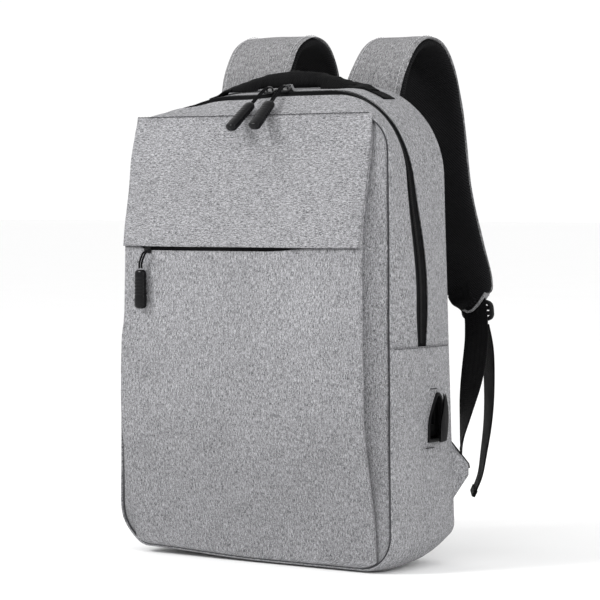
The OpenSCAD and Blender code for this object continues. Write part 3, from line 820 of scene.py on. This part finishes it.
z = np.concatenate([np.linspace(17, 60, 10), np.linspace(68, 352, 36), np.linspace(360, 433, 14)])
w = corner_w(RING_BACK, 2.6, z)
t = np.linspace(-1, 1, 46)
g = np.array([[(a * s, back_y(c) + 1.4 + 0.8 * math.cos(a * 1.5), c) for a in t] for s, c in zip(w, z)])
back = cloth("back_panel", settle(g), SIDE, 3.0, ripple=0.4)
place(back, "root", "melange_fabric", "back_panel")


def puffed(obj, voxel, cap):
    """Swells a closed pad by a short cloth simulation. No point moves further than cap."""
    mod = obj.modifiers.new("remesh", "REMESH")
    mod.mode, mod.voxel_size = "VOXEL", voxel * MM
    graph = bpy.context.evaluated_depsgraph_get()
    mesh = bpy.data.meshes.new_from_object(obj.evaluated_get(graph))
    obj.modifiers.clear()
    material = obj.data.materials[0]
    obj.data = mesh
    mesh.materials.clear()
    mesh.materials.append(material)
    rest = np.array([v.co for v in mesh.vertices])
    soft = obj.modifiers.new("soft", "CLOTH")
    soft.settings.use_pressure = True
    soft.settings.uniform_pressure_force = 4
    soft.settings.effector_weights.gravity = 0
    soft.point_cache.frame_end = 20
    for f in range(1, 21):
        SCENE.frame_set(f)
    graph = bpy.context.evaluated_depsgraph_get()
    swollen = obj.evaluated_get(graph).to_mesh()
    moved = np.array([v.co for v in swollen.vertices]) - rest
    obj.evaluated_get(graph).to_mesh_clear()
    obj.modifiers.clear()
    SCENE.frame_set(1)
    length = np.linalg.norm(moved, axis=1, keepdims=True)
    moved *= np.minimum(1, cap * MM / np.maximum(length, 1e-9))
    mesh.vertices.foreach_set("co", (rest + moved).astype(np.float32).ravel())
    return obj


def after_puff(obj, weave_axes):
    """Smooths a simulated pad, and lays the cloth's pattern on it along two axes."""
    mesh = obj.data
    co = np.array([v.co for v in mesh.vertices])
    weave = np.column_stack([co[:, weave_axes[0]], co[:, weave_axes[1]], co[:, 0] * 0])
    store = mesh.attributes.get("weave") or mesh.attributes.new("weave", "FLOAT_VECTOR", "POINT")
    store.data.foreach_set("vector", weave.astype(np.float32).ravel())
    mesh.shade_smooth()
    mod = obj.modifiers.new("smooth", "SUBSURF")
    mod.levels = mod.render_levels = 1
    return obj


def pad_form(name, outline, z_range, depth, skin):
    """A closed pad on the back panel: outline gives its half widths at each height."""
    zs = np.linspace(*z_range, 26)
    t = np.linspace(-1, 1, 22)
    front, rear = [], []
    for c in zs:
        mid, half = outline(c)
        front.append([(mid + a * half, back_y(c) - 2.6, c) for a in t])
        rear.append([(mid + a * half, back_y(c) + 3.4 + depth * (1 - a**4) ** 0.6 *
                      float(np.clip(min(c - zs[0], zs[-1] - c) / 14, 0, 1)) ** 0.5 + 1.2, c) for a in t])
    rear, front = np.array(rear), np.array(front)
    m, n = rear.shape[:2]
    points = np.vstack([rear.reshape(-1, 3), front.reshape(-1, 3)])
    outer = grid_faces(m, n)
    inner = [tuple(i + m * n for i in f[::-1]) for f in grid_faces(m, n)]
    rim = []
    loop = [(0, j) for j in range(n)] + [(i, n - 1) for i in range(1, m)]
    loop += [(m - 1, j) for j in range(n - 2, -1, -1)] + [(i, 0) for i in range(m - 2, 0, -1)]
    for (a, b), (c, d) in zip(loop, loop[1:] + loop[:1]):
        rim.append((a * n + b, c * n + d, c * n + d + m * n, a * n + b + m * n))
    return make(name, points, outer + inner + rim, skin)


for name, mid, half, z_range in (
    ("back_pad_left", -66, 52, (151, 403)),
    ("back_pad_right", 66, 52, (151, 403)),
    ("lumbar_pad", 0, 113, (35, 137)),
):
    lo, hi = z_range

    def half_width(c, mid=mid, half=half, lo=lo, hi=hi):
        end = min(c - lo, hi - c)
        return mid, half - 14 * (1 - math.sqrt(1 - (1 - min(1, end / 16)) ** 2))

    pad = pad_form(name, half_width, z_range, 4.2, MESH)
    after_puff(puffed(pad, 4, 3), (0, 2))
    place(pad, "root", "mesh_black", name)

# ======== Shoulder straps ========

# x, y and z of the outer face's middle, and the half width there, for the left strap
# and for the right one, which stands a little lower
STRAP_LEFT = [
    (69, 53.5, 420, 38), (69, 55, 432, 38.5), (69, 62, 454, 39), (69, 78, 478, 39),
    (69, 104, 488.5, 39), (70, 131, 481, 38.5), (71, 150, 457, 38), (72, 158, 426, 37),
    (73, 161, 390, 36), (78, 161, 345, 35), (87, 160, 295, 32), (100, 159, 256, 27),
    (111, 158, 233, 22),
]
STRAP_RIGHT = [
    (66, 53.5, 420, 32.5), (67, 55, 432, 32), (69, 63, 453, 31), (71, 79, 474, 30.5),
    (72, 101, 483, 30.5), (73, 124, 477, 31), (73, 142, 455, 32), (74, 151, 425, 33),
    (75, 156, 390, 34), (79, 159, 345, 34), (91, 160, 295, 34), (106, 159.5, 258, 30),
    (114, 158, 233, 22),
]
STRAP_T = 8
STRIP = band_profile(25, 1.5)   # the webbing's section


def strap_frame(side):
    """The strap's middle line, the way out of its outer face, and its half width."""
    path = spline(STRAP_LEFT if side < 0 else STRAP_RIGHT, 8)
    half, path = path[:, 3], path[:, :3] * [side, 1, 1]
    out = np.cross([1.0, 0, 0], unit(np.gradient(path * [0, 1, 1], axis=0)))
    return path, out, half


def strap_end(i, n, u):
    """How far the pointed lower end runs on at u across the strap, from inside to outside."""
    return ease((i - n + 7) / 7) * (8 - 20 * (abs(u + 0.1) / 1.1) ** 1.4)


def strap_layer(name, side, top, bottom, margin, power, material, crown=0.0):
    """A padded layer between two depths under the strap's outer face, with soft edges."""
    path, out, strap_half = strap_frame(side)
    along = unit(np.gradient(path, axis=0))
    count = len(path)
    u = np.sin(np.linspace(-1, 1, 17) * math.pi / 2)
    full = (1 - np.abs(u) ** power) ** 0.5
    mid, half = (top + bottom) / 2, (bottom - top) / 2
    ends = np.clip(np.minimum(np.arange(count), np.arange(count)[::-1]) / 3, 0, 1) ** 0.5
    rings = []
    for i, p in enumerate(path):
        w = strap_half[i] - margin
        thick = half * full * max(0.12, ends[i])
        row = [p + [-a * w, 0, 0] + along[i] * strap_end(i, count, -a * side) for a in u]
        outer = [q + out[i] * (t - mid + crown * (1 - a * a)) for q, a, t in zip(row, u, thick)]
        inner = [q - out[i] * (mid + t) for q, t in zip(row, thick)]
        rings.append(outer + inner[::-1][1:-1])
    g = np.array(rings)
    points, sides, ends = capped(g)
    far = distances(path)
    weave = np.zeros(g.shape)
    weave[..., 0] = g[..., 0] - path[:, None, 0]
    weave[..., 1] = far[:, None]
    weave = np.vstack([weave.reshape(-1, 3), weave[0, 0], weave[-1, 0]])
    return make(name, points, sides + ends, material, weave, 60)


def crumple(obj, amount, scale):
    """Soft uneven dents over a padded piece."""
    mesh = obj.data
    for v in mesh.vertices:
        d = noise.noise(v.co / (scale * MM)) * amount * MM
        v.co += v.normal * d


LOWER_ROUTE = [(152, 75, 98), (148.5, 84, 112), (142, 104, 143), (134.5, 125, 172),
               (128, 141, 196), (124.5, 147.5, 210), (122, 150.5, 222), (118, 153, 238)]
TAIL_ROUTE = [(122, 163.5, 214), (125, 168, 188), (127, 167, 150), (126, 166, 120), (123, 164, 92),
              (120, 162, 70), (113, 160, 52)]
LOOP_ROUTE = [(107, 142.6, 246), (112, 142.2, 238), (117, 145, 231.5)]


def turning(n, a, b, speed=1.0):
    t = ease(np.linspace(0, speed, n))[:, None]
    return unit(np.array(a, float) * (1 - t) + np.array(b, float) * t)


for side, word in SIDES:
    strap = "strap_" + word
    pad = strap_layer("strap_pad_" + word, side, 0, 2.2, 0.6, 12, STRAP, crown=0.5)
    crumple(pad, 0.9, 34)
    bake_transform(pad)
    dress(pad, "melange_fabric", "strap_pad_" + word)

    inner = strap_layer("strap_mesh_" + word, side, 1.0, STRAP_T + 2.8, 0.4, 7, MESH)
    crumple(inner, 1.1, 24)
    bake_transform(inner)
    dress(inner, "mesh_black", "strap_mesh_" + word)

    # binding tape round the strap's pointed lower end
    path, out, half = strap_frame(side)
    along = unit(np.gradient(path, axis=0))
    foot = np.array([path[-1] - out[-1] * 5 + [e * (half[-1] - 0.4) * side, 0, 0]
                     + along[-1] * (strap_end(9, 9, e) + 0.7) for e in np.linspace(1, -0.75, 15)])
    foot = sweep("strap_foot_" + word, foot, band_profile(10, 2.0), STRAP, side=out[-1])
    place(foot, strap, "side_fabric")

    for edge in (-1, 1):
        row = path + out * 0.6 + np.outer(edge * (half - 5.5), [1, 0, 0])
        label = "strap_stitches_%s_%s" % (word, "out" if edge * side > 0 else "in")
        seam = stitches(label, row[4:-3], out[4:-3], PALE_THREAD, pitch=4.0, length=2.8, r=0.3, lift=0.25)
        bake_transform(seam)

    loop = sweep("strap_loop_" + word, spline(LOOP_ROUTE, 6) * [side, 1, 1], STRIP, WEBBING,
                 side=(1, 0, -0.2 * side))
    place(loop, strap, "webbing_black", "strap_loop_" + word)

    route = spline(LOWER_ROUTE, 10) * [side, 1, 1]
    lower = sweep("lower_webbing_" + word, route, STRIP, WEBBING,
                  side=turning(len(route), (0.42 * side, -0.8, 0.42), (side, 0, 0), 2.0))
    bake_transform(lower)
    dress(lower, "webbing_black", "lower_webbing_" + word)

    route = spline(TAIL_ROUTE, 10) * [side, 1, 1]
    end = sweep("webbing_tail_" + word, route, STRIP, WEBBING,
                side=turning(len(route), (0.84, -0.54 * side, 0), (0.62, -0.78 * side, 0)))
    place(end, "tail_" + word, "webbing_black", "webbing_tail_" + word)
    hem = sweep("tail_hem_" + word, route[-5:], band_profile(25.4, 3.4), WEBBING,
                side=turning(5, (0.64, -0.77 * side, 0), (0.62, -0.78 * side, 0)))
    place(hem, "tail_" + word, "webbing_black")

    # ladder lock behind the strap's pointed end: a rounded frame with two bars
    corner = np.radians(np.linspace(0, 360, 41))
    frame_line = [(15.5 * np.sign(math.cos(a)) * abs(math.cos(a)) ** 0.5, 0,
                   8.5 * np.sign(math.sin(a)) * abs(math.sin(a)) ** 0.5) for a in corner]
    parts = [swept(frame_line, band_profile(5.2, 4.2), (0, 1, 0))]
    for z in (-2.6, 2.6):
        bar = [(x, 0, z) for x in np.linspace(-15, 15, 5)]
        parts.append(swept(bar, round_profile(2.1, 10), (0, 1, 0)))
    lock_at = np.array([side * 119, 158.5, 227])
    parts = [(turned(q, 10, lock_at), f, w) for q, f, w in parts]
    lock = joined("ladder_lock_" + word, parts, PLASTIC, 40)
    place(lock, strap, "plastic_black", "ladder_lock_" + word)

    # fabric tab that holds the lower webbing
    root_y = back_y(80) + 4
    t = np.linspace(0, 1, 14)[:, None]
    upper = mix(np.array([146, root_y - 5, 113]), np.array([156, 82, 89]), t)
    under = mix(np.array([146, root_y - 5, 52]), np.array([156, 82, 79]), t)
    s = np.linspace(0, 1, 16)[None, :, None]
    g = mix(under[:, None], upper[:, None], s)
    g = g * [side, 1, 1]
    if side < 0:
        g = g[:, ::-1]
    tab = cloth("gusset_tab_" + word, g, SIDE, 2.6, ripple=0.5)
    place(tab, "root", "side_fabric", "gusset_tab_" + word)
    rim = np.vstack([upper, [[156.6, 82.8, 85]]]) * [side, 1, 1]
    bound = tube("tab_binding_" + word, rim + [side * -1.0, 0.5, 0.4], 1.2, WEBBING, 10, side=(1, 0, 0))
    place(bound, "root", "webbing_black")

g = np.array([[(x, back_y(c) + 3.4 + 0.6 * math.cos(x / 30), c) for x in np.linspace(-92, 92, 40)]
              for c in np.linspace(405, 427, 8)])
yoke = cloth("strap_yoke", g, SIDE, 1.8, ripple=0.3)
place(yoke, "root", "melange_fabric", "strap_yoke")

# ======== Carry handle ========

HANDLE_Y = 22


def grip_ring(u):
    """A ring of points round the grip at u from -1 to 1 along it. It leans forward, so
    that its front edge lies just over the cloth while its back edge stands in an arc."""
    q = u * u
    w = 12.5 - 5 * q
    top, foot = ZIP_H + 24 - 17 * q, ZIP_H + 3.6
    lean = math.asin((top - foot) / (2 * w))
    a = np.linspace(0, 2 * math.pi, 20, endpoint=False)
    side = np.sign(np.cos(a)) * np.abs(np.cos(a)) ** 0.8 * w
    up = np.sin(a) * (3.4 - 1.2 * q) - 1.2 - 1.4 * (side / w) ** 2
    y = HANDLE_Y + side * math.cos(lean) - up * math.sin(lean)
    z = top + (side - w) * math.sin(lean) + up * math.cos(lean)
    return np.column_stack([np.full(20, 73 * u + 1), y, z])


points, sides, ends = capped(np.array([grip_ring(u) for u in np.linspace(-1, 1, 50)]))
grip = make("handle_grip", points, [f[::-1] for f in sides + ends], PADDED)
after_puff(puffed(grip, 4, 1.6), (0, 1))
place(grip, "carry_handle", "mesh_black", "handle_grip")

for s, word in SIDES:
    end_z = ZIP_H - (4 if s < 0 else 0)
    route = spline([(s * 66 + 1, HANDLE_Y - 0.6, ZIP_H + 6), (s * 74 + 1, HANDLE_Y - 0.3, ZIP_H + 4.4),
                    (s * 81 + 1, HANDLE_Y, end_z + 4), (s * 87 + 1, HANDLE_Y, end_z + 1.4),
                    (s * 91 + 1, HANDLE_Y, end_z)], 5)
    core = sweep("handle_end_" + word, route, band_profile(15, 2.4), WEBBING,
                 side=turning(len(route), (0, 0.93, 0.36), (0, 1, 0)))
    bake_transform(core)
    if s < 0:
        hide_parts("handle_core")
    r = ring(1.5)
    a = np.radians(np.linspace(60, 73, 10))
    patch = [[(s * (r[1] - r[5] + (r[5] + 1.2) * math.cos(q)), y, r[3] - r[5] + (r[5] + 1.2) * math.sin(q))
              for q in (a[::-1] if s > 0 else a)] for y in np.linspace(HANDLE_Y - 9, HANDLE_Y + 9, 8)]
    anchor = cloth("handle_anchor_" + word, settle(patch)[:, ::-1], WEBBING, 1.2)
    place(anchor, "root", "webbing_black")
    if s < 0:
        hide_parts("handle_anchors")

# ======== Zip sliders and pulls ========


def slider(name, body, at, tilt, size=1.0, material=METAL):
    """A slider: a waisted plate and a bridge, over the teeth at its place."""
    x = np.linspace(-5, 5, 16)
    half = 4.3 - 1.1 * np.exp(-((x + 3) ** 2) / 3)
    levels = [(0.5, 0.9), (0.9, 1.0), (1.9, 1.0), (2.5, 0.86)]
    loop = [(a, b) for a, b in zip(x, half)] + [(a, -b) for a, b in zip(x[::-1], half[::-1])]
    rings = np.array([[(a * s, b * s, z) for a, b in loop] for z, s in levels])
    m, k = rings.shape[:2]
    faces = [f[::-1] for f in grid_faces(m, k, closed=True)]
    faces += [tuple(range(k)), tuple(reversed(range((m - 1) * k, m * k)))]
    plate = (rings.reshape(-1, 3), faces, rings.reshape(-1, 3))
    half_bridge = [(3.2, 2.2), (3.0, 4.6), (1.6, 5.6)]
    bridge = spline([(-x, 0, z) for x, z in half_bridge] + [(x, 0, z) for x, z in half_bridge[::-1]], 4)
    parts = [plate, swept(bridge, band_profile(2.4, 1.2), (0, 1, 0))]
    parts = [(turned(p * size, tilt, at), f, w) for p, f, w in parts]
    obj = joined(name, parts, material, 40)
    place(obj, body, "slider_metal", name)


def pull(word, at, cord_route, grip_at, tilt, turn=0, lean=0):
    """A doubled cord, knotted into a ribbed rubber grip with a glossy tip.
    lean is how far to the right of the grip the cord starts."""
    c, s = math.cos(math.radians(turn)), math.sin(math.radians(turn))
    spin = np.array([[c, s, 0], [-s, c, 0], [0, 0, 1]])

    def hung(parts):
        return [(np.asarray(p) @ spin + at, f, w) for p, f, w in parts]

    parts = []
    for x in (-1.4, 1.4):
        route = [(x + lean * q, a, b) for q, (a, b) in zip((1, 0.75, 0.1, 0), cord_route)]
        parts.append(swept(spline(route, 6), round_profile(0.9, 8)))
    y, z = cord_route[0]
    arch = [(lean + 1.4 * math.cos(a), y + 0.2, z + 0.5 * math.sin(a)) for a in np.linspace(0, math.pi, 9)]
    parts.append(swept(arch, round_profile(0.85, 8), (0, 1, 0)))
    cord = joined("pull_cord_" + word, hung(parts), ZIP)
    place(cord, "pull_" + word, "zip_black", "pull_cord_" + word)

    drop = np.concatenate([[0, 0.6, 1.6, 3, 5], np.arange(6.5, 27, 0.75), np.linspace(28, 33.5, 7),
                           [34.6, 35.4, 36]])
    size = np.interp(drop, [0, 0.6, 1.6, 3, 5, 8, 24, 29, 33.5, 34.6, 35.4, 36],
                     [0.5, 0.72, 0.86, 0.92, 0.95, 0.97, 1, 1, 0.97, 0.88, 0.7, 0.36])
    ribs = (drop > 7) & (drop < 25.5)
    size = size * (1 - 0.06 * ribs * (0.5 - 0.5 * np.cos((drop - 7) * 2 * math.pi / 3.0)))
    a = np.linspace(0, 2 * math.pi, 20, endpoint=False)
    shape = np.column_stack([6.1 * np.sign(np.cos(a)) * np.abs(np.cos(a)) ** 0.8,
                             4.1 * np.sign(np.sin(a)) * np.abs(np.sin(a)) ** 0.8])
    p, f, w = swept(np.outer(drop, [0, 0, -1]), shape, sizes=size)
    grip = joined("pull_grip_" + word, hung([(turned(p, tilt, grip_at), f, w)]), RUBBER, 60)
    place(grip, "pull_" + word, "rubber_black", "pull_grip_" + word)


MAIN_CORD = [(-4.3, 4.4), (-7.6, 3), (-15, -2.8), (-24.2, -10.1)]
for word, x, turn in (("left", 0, -9), ("right", 17, 2)):
    at = settle([x, float(zip_y(ZIP_H)), ZIP_H])
    slider("slider_" + word, "slider_" + word, at, 20)
    pull(word, at, MAIN_CORD, (0, -25, -10.8), -50, turn)

pocket_at = np.array([-108, float(face_y_at(0, 292)) - 0.4, 284])
slider("slider_pocket", "slider_pocket", pocket_at + [5, 0.8, 1], 90, 0.72, PLASTIC)
pull("pocket", pocket_at, [(-5.6, -1), (-6.4, -3.4), (-5.6, -11), (-5, -16)], (0, -5, -17.4), 0, lean=6)

# ======== Charging port ========


def port_outline(scale):
    return (PORT * scale)[::-1]


shift = np.array([PORT_Y, PORT_Z])
outer, inner = port_outline(1.0), port_outline(0.86)
levels = [(outer, 151.6), (outer, 153.6), (mix(outer, inner, 0.12), 154), (mix(outer, inner, 0.85), 154),
          (inner, 153.4), (inner, 145.5), (inner * 0.5, 145.2), (inner * 0.02, 145.2)]
rings = np.array([[(x, *(q + shift)) for q in o] for o, x in levels])
m, k = rings.shape[:2]
bezel = make("usb_bezel", rings.reshape(-1, 3), [f[::-1] for f in grid_faces(m, k, closed=True)], PLASTIC,
             smooth=35)
place(bezel, "root", "plastic_black", "usb_bezel")

# a sewn facing of the side cloth round the port
around = []
for scale, lift in ((0.9, -0.4), (0.96, 0.5), (1.15, 0.5), (1.18, -0.6)):
    loop = port_outline(scale) + shift
    y, z = loop.T[..., None, None]
    far = (shell[..., 1] - y) ** 2 + (shell[..., 2] - z) ** 2 + 1e6 * (shell[..., 0] < 100)
    near = shell.reshape(-1, 3)[far.reshape(len(loop), -1).argmin(1), 0]
    around.append(np.column_stack([near + lift, loop]))
around = np.array(around)
m, k = around.shape[:2]
facing = make("usb_facing", around.reshape(-1, 3), grid_faces(m, k, closed=True), SIDE,
              (around[..., [1, 2, 0]] * [1, 1, 0]).reshape(-1, 3))
place(facing, "root", "side_fabric")

# rubber cover, hinged at its back edge and left standing a little open
HINGE = np.array([PORT_X + 3.5, PORT_Y + 13.5, 0])
outline = port_outline(0.97) + shift
rows = np.linspace(0, 1, 18)
mid = outline.mean(0)
domes = [mid + (outline - mid) * s for s in np.concatenate([[1.0], np.sqrt(1 - rows[1:] ** 2)])]
open_at = math.radians(19)
cover = []
for layer in (0, 1):
    order = domes if layer == 0 else domes[::-1]
    for row in order:
        ring_points = []
        for y, z in row:
            inset = np.linalg.norm((np.array([y, z]) - mid) / [15, 24])
            x = -1.2 + (1.8 if layer == 0 else 0.2) + 2.4 * (1 - min(1, inset) ** 2)
            ring_points.append((x, y - HINGE[1], z))
        cover.append(ring_points)
cover = np.array(cover)
c, s = math.cos(open_at), math.sin(open_at)
hood = np.stack([cover[..., 0] * c - cover[..., 1] * s, cover[..., 0] * s + cover[..., 1] * c,
                         cover[..., 2]], -1) + HINGE
m, k = hood.shape[:2]
hood_piece = make("usb_flap", hood.reshape(-1, 3), grid_faces(m, k, closed=True), HOOD, smooth=60)
place(hood_piece, "usb_flap", "rubber_black", "usb_flap")

for word, z, a, b in (("high", 161.5, 21, 32), ("low", 108.5, 13, 30)):
    row = stitches("usb_stitches_" + word, np.array([[153, a, z], [153, b, z]]), (1, 0, 0), THREAD,
                   pitch=3.4, length=2.9, r=0.5, lift=0.1)
    place(row, "root", "zip_black")

# ======== Inside the bag ========


def lining(name, g, node, thick=1.2):
    obj = cloth(name, g, LINING, thick, ripple=0.4)
    dress(obj, "lining_fabric", node)
    return obj


z = np.linspace(7, 403, 60)
w = corner_w(RING_FRONT, 5.0, z)
g = np.array([[(-a * s, -36.6 + 0.6 * math.cos(a * 2), c) for a in np.linspace(-1, 1, 30)]
              for s, c in zip(w, z)])
wall = lining("front_wall", settle(g), "front_wall_lower")
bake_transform(wall)
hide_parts("front_wall_upper")

g = np.array([[(x * (1 - 0.08 * (c > 270)), back_y(c) - 22 + 1.2 * math.cos(x / 60), c)
               for x in np.linspace(128, -128, 40)] for c in np.linspace(9, 290, 40)])
sleeve = lining("laptop_sleeve", g, "laptop_sleeve", thick=2.6)
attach(sleeve, "root")
rim = tube("sleeve_binding", g[-1] + [0, 1.3, 0.2], 2.0, WEBBING, 8)
place(rim, "root", "webbing_black")

route = spline([(0, 47, 332), (0, 41, 318), (0, 30, 304), (0, 28.2, 290), (0, 28, 262)], 5)
band = sweep("sleeve_strap", route, band_profile(30, 1.4), WEBBING)
place(band, "root", "webbing_black", "sleeve_strap")

g = np.array([[(145 + a, b, c) for c in np.linspace(108, 34, 20)]
              for a, b in spline([(0, -18), (-9, -14), (-12, -4), (-12, 14), (-9, 24), (0, 28)], 4)])
pouch = lining("power_bank_pocket", g, "power_bank_pocket", thick=0.9)
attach(pouch, "root")
g = np.array([[(x, -39.8, c) for x in np.linspace(95, -95, 30)] for c in np.linspace(70, 180, 20)])
organiser = lining("inner_organiser", g, "inner_organiser", thick=0.9)
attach(organiser, "root")

# ---- the socket is kept from the CAD ----

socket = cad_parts["usb_socket"]
socket.data.materials.clear()
socket.data.materials.append(PLASTIC)

bpy.context.view_layer.update()
